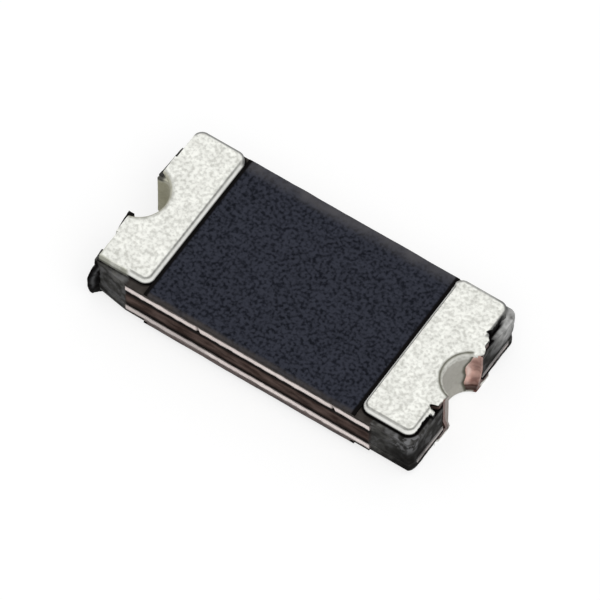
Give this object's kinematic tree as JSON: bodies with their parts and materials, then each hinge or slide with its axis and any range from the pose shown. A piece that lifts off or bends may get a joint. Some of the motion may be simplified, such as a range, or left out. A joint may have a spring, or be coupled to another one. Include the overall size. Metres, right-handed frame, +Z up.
{
  "type": "resettable fuse",
  "caption": "Flat surface-mount resettable fuse: a foil and polymer laminate with a dark coat, pale tinned end pads and half-round plated notches.",
  "frame": {"origin": "middle of the chip, on the plane of its lower pads", "axes": "+X along the length towards the right terminal, +Y across the width, +Z up from the board through the layers"},
  "size_m": [0.0033, 0.0016, 0.0006],
  "materials": {
    "conductive_polymer": "matte cut edge of carbon-filled polymer",
    "electrode_foil": "bright sheared edge of nickel-plated copper foil",
    "resin": "dark grey cut resin",
    "mask_coat": "dark navy coat with a fine speckle",
    "copper": "dull bare copper",
    "tin": "matte grainy tin plating"
  },
  "bodies": {
    "root": {"ptc_core": "conductive_polymer", "upper_electrode": "electrode_foil", "lower_electrode": "electrode_foil", "upper_insulation": "resin", "lower_insulation": "resin", "upper_mask": "mask_coat", "lower_mask": "mask_coat", "left_copper_plating": "copper", "right_copper_plating": "copper", "left_tin_coat": "tin", "right_tin_coat": "tin"}
  },
  "joints": []
}
